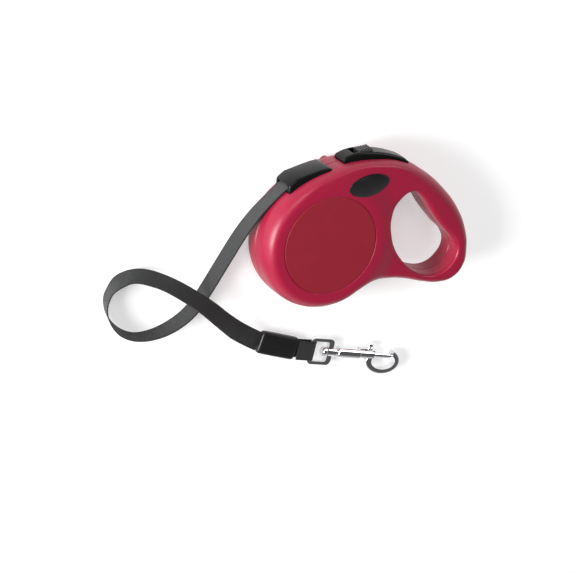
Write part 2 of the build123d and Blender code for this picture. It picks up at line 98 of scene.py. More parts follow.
# Outline of the black nozzle, its channel that is open towards the tape, and how far it reaches up and down.
NOZZLE_OUTLINE = [
    (-20.6, 31.5), (-23.2, 35.0), (-22.6, 40.2), (-17.6, 43.3), (-8.0, 44.9), (-1.0, 45.9), (4.6, 46.2),
    (6.9, 44.4), (6.4, 41.8), (-4.0, 37.5),
]
NOZZLE_CHANNEL = [
    (-27.0, 33.6), (-27.0, 39.0), (-21.0, 39.9), (-16.0, 41.9), (-9.0, 43.0), (-4.0, 42.0), (-4.0, 34.0),
    (-14.0, 32.0),
]
NOZZLE_LOW = 7.4
NOZZLE_HIGH = 25.6

# Window in the housing that the brake button moves in.
BUTTON_WINDOW = [(14.9, 36.0), (14.9, 55.0), (59.3, 55.0), (59.3, 29.0), (40.0, 31.0)]
BUTTON_WINDOW_HALF = 6.65

FACE_CELL = 2.5             # spacing of the cuts that let the face follow its thickness
WOUND_LAYERS = 27
WOUND_RADII = (17.05, 36.4)

SNAP_ORIGIN = (-0.5, -80.6)
SNAP_ANGLE = -17.0
SNAP_HEIGHT = 3.8
SLEEVE_START = (-35.6, -66.3)
SLEEVE_END = (-10.9, -77.0)
SLEEVE_WIDTH = 14.4
SLEEVE_HEIGHT = 6.2

# Directions of the camera's right and up, and the place that it aims at along right, up and back, in metres.
CAMERA_RIGHT = (0.891, -0.025, 0.453)
CAMERA_UP = (0.206, 0.912, -0.355)
CAMERA_AIM = (-0.0114, -0.0359, 0.010)
SENSOR_WIDTH = 0.036
# Softboxes: name, place in metres, size in metres and share of the key light's power.
SOFTBOXES = [
    ("Key", (-1.05, 0.10, 0.50), 0.5, 1.55),
    ("Fill", (1.0, 0.75, 0.75), 0.6, 0.35),
    ("Top", (-0.35, 0.9, 1.1), 0.6, 0.45),
]


# ---------------------------------------------------------------- sizes and colours that a user changes

class LeashFinish(bpy.types.PropertyGroup):
    """Colours of the moulded parts and of the tape."""
    shell: FloatVectorProperty(
        name="Housing red", description="Colour of the glossy housing", subtype="COLOR", size=3,
        min=0.0, max=1.0, default=(0.275, 0.008, 0.034))
    panel: FloatVectorProperty(
        name="Panel red", description="Colour of the grained round panel", subtype="COLOR", size=3,
        min=0.0, max=1.0, default=(0.215, 0.007, 0.018))
    black: FloatVectorProperty(
        name="Black plastic", description="Colour of the nozzle, the button and the badge", subtype="COLOR",
        size=3, min=0.0, max=1.0, default=(0.004, 0.0045, 0.004))
    tape: FloatVectorProperty(
        name="Tape", description="Colour of the woven tape", subtype="COLOR", size=3,
        min=0.0, max=1.0, default=(0.026, 0.027, 0.028))


class LeashStage(bpy.types.PropertyGroup):
    """Camera and light."""
    lens: FloatProperty(
        name="Lens", description="Focal length of the camera", subtype="DISTANCE_CAMERA", default=180.0,
        min=50.0, max=400.0)
    framed_width: FloatProperty(
        name="Framed width", description="Width that the camera takes in at the table", subtype="DISTANCE",
        unit="LENGTH", default=0.3437, min=0.1, max=1.0)
    key_energy: FloatProperty(
        name="Key light", description="Power of the main softbox", subtype="POWER", default=16.0, min=0.0,
        max=200.0)


class LeashTape(bpy.types.PropertyGroup):
    """Sizes of the tape."""
    width: FloatProperty(
        name="Tape width", description="Width of the webbing", subtype="DISTANCE", unit="LENGTH",
        default=TAPE_WIDTH * MM, min=0.005, max=0.03)
    thickness: FloatProperty(
        name="Tape thickness", description="Thickness of the webbing", subtype="DISTANCE", unit="LENGTH",
        default=TAPE_THICKNESS * MM, min=0.0003, max=0.003)


# ---------------------------------------------------------------- shader nodes

def node(tree, kind, inputs=None, **settings):
    """A node of that kind. An input is given a value, or is linked when it is given a socket."""
    made = tree.nodes.new("ShaderNode" + kind)
    for name, value in settings.items():
        setattr(made, name, value)
    for name, value in (inputs or {}).items():
        if isinstance(value, bpy.types.NodeSocket):
            tree.links.new(value, made.inputs[name])
        else:
            made.inputs[name].default_value = value
    return made


def new_group(name, inputs, outputs):
    """An empty shader node group with its named sockets, and the nodes at its two ends."""
    tree = bpy.data.node_groups.new(name, "ShaderNodeTree")
    for label, kind, default in inputs:
        socket = tree.interface.new_socket(name=label, in_out="INPUT", socket_type="NodeSocket" + kind)
        if kind == "Float":
            socket.default_value = default
    for label, kind in outputs:
        tree.interface.new_socket(name=label, in_out="OUTPUT", socket_type="NodeSocket" + kind)
    return tree, tree.nodes.new("NodeGroupInput"), tree.nodes.new("NodeGroupOutput")


def grain_group():
    """Moulded grain: a fine even pebble for bumps, and a slow cloud that varies gloss and tone."""
    tree, start, end = new_group(
        "Moulded grain", [("Vector", "Vector", None), ("Grain size", "Float", 2000.0)],
        [("Height", "Float"), ("Cloud", "Float")])
    fine = node(tree, "TexNoise", {"Vector": start.outputs["Vector"], "Scale": start.outputs["Grain size"],
                                   "Detail": 2.0, "Roughness": 0.5})
    cloud = node(tree, "TexNoise", {"Vector": start.outputs["Vector"], "Scale": 60.0, "Detail": 4.0})
    tree.links.new(fine.outputs["Fac"], end.inputs["Height"])
    tree.links.new(cloud.outputs["Fac"], end.inputs["Cloud"])
    return tree


def wear_group():
    """Light handling marks: thin scratches and rubbed spots as one mask."""
    tree, start, end = new_group(
        "Handling marks", [("Vector", "Vector", None), ("Amount", "Float", 0.3)], [("Mask", "Float")])
    turned = node(tree, "Mapping", {"Vector": start.outputs["Vector"], "Rotation": (0.2, 0.5, 0.9),
                                    "Scale": (1.0, 14.0, 1.0)})
    streak = node(tree, "TexNoise", {"Vector": turned.outputs[0], "Scale": 160.0, "Detail": 5.0})
    spots = node(tree, "TexNoise", {"Vector": start.outputs["Vector"], "Scale": 90.0, "Detail": 3.0})
    joined = node(tree, "Math", {0: streak.outputs["Fac"], 1: spots.outputs["Fac"]}, operation="MULTIPLY")
    sharp = node(tree, "MapRange", {"Value": joined.outputs[0], "From Min": 0.30, "From Max": 0.42})
    amount = node(tree, "Math", {0: sharp.outputs[0], 1: start.outputs["Amount"]}, operation="MULTIPLY")
    tree.links.new(amount.outputs[0], end.inputs["Mask"])
    return tree


def weave_group():
    """Narrow webbing from its own map: u runs across in widths, v along in metres."""
    tree, start, end = new_group(
        "Narrow weave", [("Vector", "Vector", None)],
        [("Height", "Float"), ("Thread", "Float"), ("Edge", "Float")])
    split = node(tree, "SeparateXYZ", {"Vector": start.outputs["Vector"]})
    across = node(tree, "Math", {0: split.outputs["X"], 1: math.pi * 26}, operation="MULTIPLY")
    along = node(tree, "Math", {0: split.outputs["Y"], 1: math.pi / 0.00085}, operation="MULTIPLY")
    slanted = node(tree, "Math", {0: along.outputs[0], 1: across.outputs[0]}, operation="ADD")
    warp = node(tree, "Math", {0: across.outputs[0]}, operation="SINE")
    weft = node(tree, "Math", {0: slanted.outputs[0]}, operation="SINE")
    warp_round = node(tree, "Math", {0: warp.outputs[0]}, operation="ABSOLUTE")
    weft_round = node(tree, "Math", {0: weft.outputs[0]}, operation="ABSOLUTE")
    body = node(tree, "Math", {0: warp_round.outputs[0], 1: weft_round.outputs[0]}, operation="MULTIPLY")
    from_middle = node(tree, "Math", {0: split.outputs["X"], 1: 0.5}, operation="SUBTRACT")
    off_middle = node(tree, "Math", {0: from_middle.outputs[0]}, operation="ABSOLUTE")
    edge = node(tree, "MapRange", {"Value": off_middle.outputs[0], "From Min": 0.43, "From Max": 0.45})
    rib = node(tree, "Math", {0: along.outputs[0], 1: 0.8}, operation="MULTIPLY")
    rib_wave = node(tree, "Math", {0: rib.outputs[0]}, operation="SINE")
    rib_round = node(tree, "Math", {0: rib_wave.outputs[0]}, operation="ABSOLUTE")
    height = node(tree, "Mix", {"Factor": edge.outputs[0], "A": body.outputs[0], "B": rib_round.outputs[0]})
    tree.links.new(height.outputs[0], end.inputs["Height"])
    tree.links.new(body.outputs[0], end.inputs["Thread"])
    tree.links.new(edge.outputs[0], end.inputs["Edge"])
    return tree


def shared(name, maker):
    """A node group that is built once."""
    return bpy.data.node_groups.get(name) or maker()


def new_material(name, **sockets):
    """A material whose Principled BSDF has those plain values. Returns its tree and the shader."""
    made = bpy.data.materials.new(name)
    made.use_nodes = True
    shader = made.node_tree.nodes["Principled BSDF"]
    for socket, value in sockets.items():
        shader.inputs[socket.replace("_", " ")].default_value = value
    return made, made.node_tree, shader


def moulded(name, colour, rough, grain_size=2000.0, bump=0.2, worn=0.12, low=0.85, **sockets):
    """Moulded plastic or rubber of one colour, with its grain, its uneven gloss and light handling marks."""
    made, tree, shader = new_material(name, **sockets)
    place = node(tree, "TexCoord").outputs["Object"]
    grain = node(tree, "Group", node_tree=shared("Moulded grain", grain_group))
    tree.links.new(place, grain.inputs["Vector"])
    grain.inputs["Grain size"].default_value = grain_size
    marks = node(tree, "Group", node_tree=shared("Handling marks", wear_group))
    tree.links.new(place, marks.inputs["Vector"])
    marks.inputs["Amount"].default_value = worn
    darker = [channel * low for channel in colour] + [1.0]
    lighter = [min(1.0, channel * 1.08) for channel in colour] + [1.0]
    tone = node(tree, "Mix", {"Factor": grain.outputs["Cloud"]}, data_type="RGBA")
    tone.inputs[6].default_value = darker
    tone.inputs[7].default_value = lighter
    rubbed = node(tree, "Mix", {"Factor": marks.outputs["Mask"]}, data_type="RGBA")
    tree.links.new(tone.outputs[2], rubbed.inputs[6])
    rubbed.inputs[7].default_value = [min(1.0, channel * 1.5 + 0.02) for channel in colour] + [1.0]
    tree.links.new(rubbed.outputs[2], shader.inputs["Base Color"])
    gloss = node(tree, "MapRange", {"Value": grain.outputs["Cloud"], "To Min": rough - 0.05,
                                    "To Max": rough + 0.07})
    tree.links.new(gloss.outputs[0], shader.inputs["Roughness"])
    relief = node(tree, "Bump", {"Height": grain.outputs["Height"], "Strength": bump, "Distance": 0.0001})
    tree.links.new(relief.outputs[0], shader.inputs["Normal"])
    return made


def shell_material(finish):
    """Glossy red shell, whose round panel is darker and grained."""
    made, tree, shader = new_material("Housing red", Specular_IOR_Level=0.32)
    place = node(tree, "TexCoord").outputs["Object"]
    split = node(tree, "SeparateXYZ", {"Vector": place})
    flat = node(tree, "CombineXYZ", {"X": split.outputs["X"], "Y": split.outputs["Y"]})
    reach = node(tree, "VectorMath", {0: flat.outputs[0]}, operation="LENGTH")
    outside = node(tree, "MapRange", {"Value": reach.outputs["Value"], "From Min": (PANEL_RADIUS - 0.5) * MM,
                                      "From Max": (PANEL_RADIUS + 0.1) * MM})
    grain = node(tree, "Group", node_tree=shared("Moulded grain", grain_group))
    tree.links.new(place, grain.inputs["Vector"])
    grain.inputs["Grain size"].default_value = 1800.0
    marks = node(tree, "Group", node_tree=shared("Handling marks", wear_group))
    tree.links.new(place, marks.inputs["Vector"])
    marks.inputs["Amount"].default_value = 0.10
    base = node(tree, "Mix", {"Factor": outside.outputs[0]}, data_type="RGBA")
    base.inputs[6].default_value = (*finish.panel, 1.0)
    base.inputs[7].default_value = (*finish.shell, 1.0)
    cloudy = node(tree, "Mix", {"Factor": grain.outputs["Cloud"]}, data_type="RGBA", blend_type="MULTIPLY")
    tree.links.new(base.outputs[2], cloudy.inputs[6])
    cloudy.inputs[7].default_value = (0.90, 0.86, 0.88, 1.0)
    rubbed = node(tree, "Mix", {"Factor": marks.outputs["Mask"]}, data_type="RGBA")
    tree.links.new(cloudy.outputs[2], rubbed.inputs[6])
    rubbed.inputs[7].default_value = (0.34, 0.03, 0.05, 1.0)
    tree.links.new(rubbed.outputs[2], shader.inputs["Base Color"])
    gloss = node(tree, "MapRange", {"Value": outside.outputs[0], "To Min": 0.55, "To Max": 0.33})
    uneven = node(tree, "Math", {0: grain.outputs["Cloud"], 1: 0.08}, operation="MULTIPLY")
    rough = node(tree, "Math", {0: gloss.outputs[0], 1: uneven.outputs[0]}, operation="ADD")
    tree.links.new(rough.outputs[0], shader.inputs["Roughness"])
    share = node(tree, "MapRange", {"Value": outside.outputs[0], "To Min": 1.0, "To Max": 0.08})
    height = node(tree, "Math", {0: grain.outputs["Height"], 1: share.outputs[0]}, operation="MULTIPLY")
    relief = node(tree, "Bump", {"Height": height.outputs[0], "Strength": 0.5, "Distance": 0.0002})
    tree.links.new(relief.outputs[0], shader.inputs["Normal"])
    return made


def metal(name, colour, rough, grain_size, stretch, bump):
    """Metal with fine drawn or cast marks."""
    made, tree, shader = new_material(name, Metallic=1.0)
    place = node(tree, "TexCoord").outputs["Object"]
    drawn = node(tree, "Mapping", {"Vector": place, "Scale": stretch})
    marks = node(tree, "TexNoise", {"Vector": drawn.outputs[0], "Scale": grain_size, "Detail": 4.0})
    cloud = node(tree, "TexNoise", {"Vector": place, "Scale": 120.0, "Detail": 3.0})
    tone = node(tree, "Mix", {"Factor": cloud.outputs["Fac"]}, data_type="RGBA")
    tone.inputs[6].default_value = [channel * 0.88 for channel in colour] + [1.0]
    tone.inputs[7].default_value = [*colour, 1.0]
    tree.links.new(tone.outputs[2], shader.inputs["Base Color"])
    gloss = node(tree, "MapRange", {"Value": marks.outputs["Fac"], "From Min": 0.3, "From Max": 0.7,
                                    "To Min": max(0.02, rough - 0.05), "To Max": rough + 0.08})
    tree.links.new(gloss.outputs[0], shader.inputs["Roughness"])
    relief = node(tree, "Bump", {"Height": marks.outputs["Fac"], "Strength": bump, "Distance": 0.0001})
    tree.links.new(relief.outputs[0], shader.inputs["Normal"])
    return made


def webbing_material(finish):
    """Woven tape: slanted ribs across, rounded warp threads, and ribbed selvages."""
    made, tree, shader = new_material("Tape webbing", Sheen_Weight=0.08, Sheen_Roughness=0.4,
                                      Specular_IOR_Level=0.3)
    chart = node(tree, "TexCoord").outputs["UV"]
    weave = node(tree, "Group", node_tree=shared("Narrow weave", weave_group))
    tree.links.new(chart, weave.inputs["Vector"])
    fuzz = node(tree, "TexNoise", {"Vector": chart, "Scale": 900.0, "Detail": 3.0})
    dark = [channel * 0.35 for channel in finish.tape] + [1.0]
    thread = node(tree, "Mix", {"Factor": weave.outputs["Thread"]}, data_type="RGBA")
    thread.inputs[6].default_value = dark
    thread.inputs[7].default_value = (*finish.tape, 1.0)
    edge = node(tree, "Mix", {"Factor": weave.outputs["Edge"]}, data_type="RGBA")
    tree.links.new(thread.outputs[2], edge.inputs[6])
    edge.inputs[7].default_value = [channel * 0.6 for channel in finish.tape] + [1.0]
    faded = node(tree, "Mix", {"Factor": fuzz.outputs["Fac"]}, data_type="RGBA", blend_type="MULTIPLY")
    tree.links.new(edge.outputs[2], faded.inputs[6])
    faded.inputs[7].default_value = (0.75, 0.75, 0.78, 1.0)
    tree.links.new(faded.outputs[2], shader.inputs["Base Color"])
    gloss = node(tree, "MapRange", {"Value": weave.outputs["Thread"], "To Min": 0.75, "To Max": 0.48})
    tree.links.new(gloss.outputs[0], shader.inputs["Roughness"])
    relief = node(tree, "Bump", {"Height": weave.outputs["Height"], "Strength": 0.8, "Distance": 0.0002})
    tree.links.new(relief.outputs[0], shader.inputs["Normal"])
    return made


def badge_material():
    """Black lacquer under a clear coat, greyer towards its lower edge, with fine flakes."""
    made, tree, shader = new_material("Badge black", Coat_Weight=0.25, Coat_Roughness=0.05,
                                      Specular_IOR_Level=0.2)
    place = node(tree, "TexCoord").outputs["Object"]
    split = node(tree, "SeparateXYZ", {"Vector": place})
    fade = node(tree, "MapRange", {"Value": split.outputs["Y"], "From Min": 0.039, "From Max": 0.027})
    flakes = node(tree, "TexNoise", {"Vector": place, "Scale": 4200.0, "Detail": 1.0})
    tone = node(tree, "Mix", {"Factor": fade.outputs[0]}, data_type="RGBA")
    tone.inputs[6].default_value = (0.006, 0.006, 0.007, 1.0)
    tone.inputs[7].default_value = (0.022, 0.020, 0.021, 1.0)
    tree.links.new(tone.outputs[2], shader.inputs["Base Color"])
    gloss = node(tree, "MapRange", {"Value": flakes.outputs["Fac"], "To Min": 0.18, "To Max": 0.34})
    tree.links.new(gloss.outputs[0], shader.inputs["Roughness"])
    return made


def material(name):
    """A finish by its name, made the first time that it is asked for."""
    finish = bpy.context.scene.leash_finish
    makers = {
        "Housing red": lambda: shell_material(finish),
        "Badge black": badge_material,
        "Tape webbing": lambda: webbing_material(finish),
        "Black plastic": lambda: moulded("Black plastic", finish.black, 0.27, 1500.0, 0.15, 0.10,
                                         Specular_IOR_Level=0.14),
        "Grey plastic": lambda: moulded("Grey plastic", (0.045, 0.045, 0.045), 0.42, 1800.0, 0.2, 0.2),
        "White acetal": lambda: moulded("White acetal", (0.72, 0.72, 0.70), 0.35, 1500.0, 0.1, 0.05),
        "Sleeve rubber": lambda: moulded("Sleeve rubber", (0.008, 0.008, 0.008), 0.36, 1100.0, 0.35,
                                         0.15, Specular_IOR_Level=0.3),
        "Chrome": lambda: metal("Chrome", (0.84, 0.84, 0.86), 0.07, 400.0, (1.0, 1.0, 1.0), 0.05),
        "Polished steel": lambda: metal("Polished steel", (0.75, 0.75, 0.76), 0.18, 900.0, (1, 1, 12), 0.1),
        "Zinc steel": lambda: metal("Zinc steel", (0.62, 0.62, 0.60), 0.34, 900.0, (1.0, 1.0, 1.0), 0.15),
        "Spring steel": lambda: metal("Spring steel", (0.42, 0.44, 0.48), 0.3, 700.0, (1, 1, 14), 0.1),
    }
    return bpy.data.materials.get(name) or makers[name]()


def finish_piece(piece, look, slot, body, *nodes):
    """Gives a new piece its material and its body, and hides the parts of the model that it stands for."""
    piece.data.materials.clear()
    piece.data.materials.append(material(look))
    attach(piece, body)
    if nodes:
        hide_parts(*nodes)
    return piece


def refinish(look, *nodes):
    """A better material on parts of the model whose shape is right."""
    for name in nodes:
        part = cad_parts[name]
        if not part.material_slots:
            part.data.materials.append(material(look))
        for place in part.material_slots:
            place.material = material(look)


# ---------------------------------------------------------------- modelling

def only(piece):
    """Makes one object the only selected one, and the active one."""
    bpy.ops.object.select_all(action="DESELECT")
    piece.select_set(True)
    bpy.context.view_layer.objects.active = piece


def new_piece(name):
    """Names the primitive that was just added."""
    piece = bpy.context.active_object
    piece.name = name
    piece.data.name = name
    return piece


def apply_modifier(piece, kind, **settings):
    """Adds one modifier with those settings, and applies it."""
    only(piece)
    modifier = piece.modifiers.new(kind.title(), kind)
    for name, value in settings.items():
        setattr(modifier, name, value)
    bpy.ops.object.modifier_apply(modifier=modifier.name)


def settle(piece, angle=32.0):
    """Puts the piece's place into its mesh, and shades it smooth except at its sharp edges."""
    only(piece)
    bpy.ops.object.transform_apply(location=True, rotation=True, scale=True)
    bpy.ops.object.shade_smooth_by_angle(angle=math.radians(angle))
    return piece


def cut(piece, tool):
    """Takes the tool's form out of the piece, and removes the tool."""
    apply_modifier(piece, "BOOLEAN", object=tool, operation="DIFFERENCE", solver="EXACT")
    bpy.data.objects.remove(tool)


def outward(piece):
    """Merges doubles and points all faces outwards."""
    only(piece)
    bpy.ops.object.mode_set(mode="EDIT")
    bpy.ops.mesh.select_all(action="SELECT")
    bpy.ops.mesh.remove_doubles(threshold=0.000002)
    bpy.ops.mesh.normals_make_consistent(inside=False)
    bpy.ops.object.mode_set(mode="OBJECT")


def loop_piece(name, points):
    """A closed loop of edges through those points, selected in edit mode."""
    bpy.ops.object.select_all(action="DESELECT")
    bpy.ops.mesh.primitive_circle_add(vertices=len(points), radius=1.0, fill_type="NOTHING")
    piece = new_piece(name)
    for vertex, point in zip(piece.data.vertices, points):
        vertex.co = point
    bpy.ops.object.mode_set(mode="EDIT")
    bpy.ops.mesh.select_mode(type="VERT")
    bpy.ops.mesh.select_all(action="SELECT")
    return piece


def prism(name, outline, low, high):
    """A solid of that outline between two heights, in millimetres."""
    piece = loop_piece(name, [Vector((x, y, low)) * MM for x, y in outline])
    bpy.ops.mesh.edge_face_add()
    bpy.ops.mesh.extrude_region_move(TRANSFORM_OT_translate={"value": (0, 0, (high - low) * MM)})
    bpy.ops.object.mode_set(mode="OBJECT")
    outward(piece)
    return piece


def lathe(name, profile, centre=(0.0, 0.0), steps=96):
    """Turns a closed profile of radius and height, in millimetres, round an upright axis."""
    x, y = centre
    piece = loop_piece(name, [Vector((x + radius, y, height)) * MM for radius, height in profile])
    bpy.ops.mesh.spin(steps=steps, angle=2 * math.pi, center=(x * MM, y * MM, 0), axis=(0, 0, 1))
    bpy.ops.object.mode_set(mode="OBJECT")
    outward(piece)
    return piece


def extrude_loop(piece, previous, points):
    """Extrudes the selected loop, and moves each new vertex to its own point."""
    bpy.ops.mesh.extrude_region_move()
    edit = bmesh.from_edit_mesh(piece.data)
    places = {tuple(round(c, 7) for c in point): i for i, point in enumerate(previous)}
    for vertex in edit.verts:
        if vertex.select:
            vertex.co = points[places[tuple(round(c, 7) for c in vertex.co)]]
    bmesh.update_edit_mesh(piece.data)


def sheet_piece(name, rows):
    """A grid through rows of points, with a map whose u runs across and v along in metres."""
    bpy.ops.object.select_all(action="DESELECT")
    across, along = len(rows[0]), len(rows)
    bpy.ops.mesh.primitive_grid_add(x_subdivisions=across - 1, y_subdivisions=along - 1, calc_uvs=True)
    piece = new_piece(name)
    for vertex, point in zip(piece.data.vertices, [point for row in rows for point in row]):
        vertex.co = point
    length = sum((b[0] - a[0]).length for a, b in zip(rows, rows[1:]))
    for corner in piece.data.uv_layers.active.data:
        corner.uv[1] = corner.uv[1] * length
    return piece


def smooth_step(value, start, end):
    """0 before the start, 1 after the end, and an S-curve between them."""
    share = min(1.0, max(0.0, (value - start) / (end - start)))
    return share * share * (3 - 2 * share)


def half_thickness(x, y):
    """Full at the reel, less where the handle leaves the disc, least at the far end of the grip."""
    reach = math.hypot(x, y)
    shoulder = smooth_step(reach, 34.0, 50.0)
    slim = smooth_step(reach, 40.0, 92.0)
    return FACE_HALF - (FACE_HALF - ROOT_HALF) * shoulder - (ROOT_HALF - GRIP_HALF) * slim


def wall_half(x, y):
    """Half height of the upright band round the parting line."""
    return 6.0 - 3.6 * smooth_step(math.hypot(x, y), 40.0, 60.0)


def line_of(curve):
    """The points along a curve. The curve is removed afterwards."""
    holder = bpy.data.objects.new("Line", curve)
    bpy.context.scene.collection.objects.link(holder)
    bpy.context.view_layer.update()
    mesh = bpy.data.meshes.new_from_object(holder)
    line = [vertex.co.copy() for vertex in mesh.vertices]
    bpy.data.objects.remove(holder)
    bpy.data.curves.remove(curve)
    bpy.data.meshes.remove(mesh)
    return line


def smooth_outline(points, steps):
    """A smooth closed line through the points. The third number is carried along as a size."""
    curve = bpy.data.curves.new("Outline", "CURVE")
    curve.dimensions = "3D"
    spline = curve.splines.new("BEZIER")
    spline.bezier_points.add(len(points) - 1)
    for bezier, point in zip(spline.bezier_points, points):
        bezier.co = point
        bezier.handle_left_type = "AUTO"
        bezier.handle_right_type = "AUTO"
    spline.use_cyclic_u = True
    spline.resolution_u = steps
    return line_of(curve)


def nozzle_blank(name, gap):
    """The nozzle's rounded outer form, wider by the gap at its two sides."""
    blank = prism(name, NOZZLE_OUTLINE, NOZZLE_LOW - gap, NOZZLE_HIGH + gap)
    apply_modifier(blank, "BEVEL", width=2.2 * MM, segments=4, limit_method="ANGLE", angle_limit=0.6)
    return blank


def rounded_rim(piece_name, line, side, open_wall):
    """Extrudes a closed outline from the parting line up and inwards to its crest, and returns the crest."""
    count = len(line)
    inwards = []
    for i in range(count):
        along = line[(i + 1) % count] - line[i - 1]
        inwards.append(Vector((along.y, -along.x, 0)).normalized())

    def ring(inset, height_of):
        points = []
        for place, normal in zip(line, inwards):
            x, y = place.x + normal.x * inset(place.z), place.y + normal.y * inset(place.z)
            points.append(Vector((x, y, MIDDLE + side * height_of(x, y))) * MM)
        return points

    def wall(x, y):
        return half_thickness(x, y) - 2.2 if open_wall else wall_half(x, y)

    rings = [ring(lambda size: 0.3, lambda x, y: 0.06),
             ring(lambda size: 0.0, lambda x, y: 0.42),
             ring(lambda size: 0.0, wall)]
    turns = 7
    for turn in range(1, turns + 1):
        angle = math.pi / 2 * turn / turns
        rings.append(ring(
            lambda size, a=angle: size * (1 - math.cos(a)),
            lambda x, y, a=angle: wall(x, y) + (half_thickness(x, y) - wall(x, y)) * math.sin(a)))
    piece = loop_piece(piece_name, rings[0])
    for previous, points in zip(rings, rings[1:]):
        extrude_loop(piece, previous, points)
    bpy.ops.object.mode_set(mode="OBJECT")
    return piece, rings[-1]


def body_outline():
    """The disc from its lower right round to the nozzle, then the handle back to it."""
    start, end, count = -60.0, -238.0, 14
    disc = []
    for step in range(count):
        angle = math.radians(start + (end - start) * step / (count - 1))
        disc.append((DISC_RADIUS * math.cos(angle), DISC_RADIUS * math.sin(angle), DISC_ROUNDING))
    return disc + HANDLE_OUTLINE


def fill_face(piece, crest):
    """Fills the flat face between the crests, and marks its faces with the second material index."""
    bpy.ops.object.mode_set(mode="EDIT")
    bpy.ops.mesh.select_mode(type="VERT")
    bpy.ops.mesh.select_all(action="DESELECT")
    edit = bmesh.from_edit_mesh(piece.data)
    for vertex in edit.verts:
        vertex.select = tuple(round(c, 6) for c in vertex.co) in crest
    edit.select_flush(True)
    bmesh.update_edit_mesh(piece.data)
    bpy.ops.mesh.select_mode(type="EDGE")
    bpy.ops.mesh.fill(use_beauty=True)
    bpy.ops.mesh.select_mode(type="FACE")
    edit = bmesh.from_edit_mesh(piece.data)
    for face in edit.faces:
        face.material_index = 1 if face.select else 0
    bmesh.update_edit_mesh(piece.data)


def crown_face(piece, side):
    """Cuts the marked face into cells, and lays each of its corners at the housing's thickness there."""
    for axis, low, high in ((0, -36.0, 98.0), (1, -44.0, 44.0)):
        place = low
        while place < high:
            at, normal = [0.0, 0.0, 0.0], [0.0, 0.0, 0.0]
            at[axis] = place * MM
            normal[axis] = 1.0
            bpy.ops.mesh.bisect(plane_co=at, plane_no=normal)
            edit = bmesh.from_edit_mesh(piece.data)
            for face in edit.faces:
                face.select = face.material_index == 1
            bmesh.update_edit_mesh(piece.data)
            place += FACE_CELL
    edit = bmesh.from_edit_mesh(piece.data)
    for vertex in {vertex for face in edit.faces if face.material_index == 1 for vertex in face.verts}:
        height = half_thickness(vertex.co.x / MM, vertex.co.y / MM)
        vertex.co.z = (MIDDLE + side * height) * MM
    for face in edit.faces:
        face.material_index = 0
    bmesh.update_edit_mesh(piece.data)
    bpy.ops.object.mode_set(mode="OBJECT")


def half_shell(name, side):
    """The outer surface of one half of the housing: its rounded rim and opening, and its face."""
    outer, outer_crest = rounded_rim(name, smooth_outline(body_outline(), 7), side, False)
    inner, inner_crest = rounded_rim("Opening rim", smooth_outline(OPENING_OUTLINE, 7), side, True)
    crest = {tuple(round(c, 6) for c in point) for point in outer_crest + inner_crest}
    only(outer)
    inner.select_set(True)
    bpy.ops.object.join()
    fill_face(outer, crest)
    crown_face(outer, side)
    outward(outer)
    return outer


# ---------------------------------------------------------------- operators

class LEASH_OT_stage(bpy.types.Operator):
    """White floor, soft studio light and the camera"""
    bl_idname = "leash.stage"
    bl_label = "Stage, Light and Camera"

    def execute(self, context):
        stage = context.scene.leash_stage
        bpy.ops.object.select_all(action="DESELECT")
        bpy.ops.mesh.primitive_plane_add(size=8.0, location=(0, 0, -0.0003))
        floor = new_piece("Floor")
        floor_material, _, shader = new_material("Floor white", Roughness=0.9, Emission_Strength=0.45)
        shader.inputs["Base Color"].default_value = (0.62, 0.62, 0.62, 1.0)
        shader.inputs["Emission Color"].default_value = (1.0, 1.0, 1.0, 1.0)
        floor.data.materials.append(floor_material)
        right = Vector(CAMERA_RIGHT)
        up = Vector(CAMERA_UP)
        back = right.cross(up)
        up = back.cross(right)
        aim = right * CAMERA_AIM[0] + up * CAMERA_AIM[1] + back * CAMERA_AIM[2]
        distance = stage.framed_width * stage.lens * MM / SENSOR_WIDTH
        camera_data = bpy.data.cameras.new("Camera")
        camera_data.lens = stage.lens
        camera_data.clip_start = 0.1
        camera_data.clip_end = 50.0
        camera = bpy.data.objects.new("Camera", camera_data)
        context.scene.collection.objects.link(camera)
        turn = Matrix((right, up, back)).transposed().to_4x4()
        camera.matrix_world = Matrix.Translation(aim + back * distance) @ turn
        context.scene.camera = camera
        for name, place, size, share in SOFTBOXES:
            self.softbox(name, place, size, stage.key_energy * share)
        world = bpy.data.worlds.new("Studio")
        world.use_nodes = True
        sky = world.node_tree
        split = node(sky, "SeparateXYZ", {"Vector": node(sky, "TexCoord").outputs["Generated"]})
        fade = node(sky, "MapRange", {"Value": split.outputs["Z"], "From Min": 0.15, "From Max": 0.75,
                                      "To Min": 0.75, "To Max": 0.10})
        sky.links.new(fade.outputs[0], sky.nodes["Background"].inputs["Strength"])
        sky.nodes["Background"].inputs["Color"].default_value = (1.0, 1.0, 1.0, 1.0)
        context.scene.world = world
        context.scene.view_settings.view_transform = "Standard"
        return {"FINISHED"}

    def softbox(self, name, place, size, energy):
        light = bpy.data.lights.new(name, "AREA")
        light.size = size
        light.energy = energy
        holder = bpy.data.objects.new(name, light)
        bpy.context.scene.collection.objects.link(holder)
        holder.location = place
        holder.rotation_euler = (-Vector(place)).to_track_quat("-Z", "Y").to_euler()


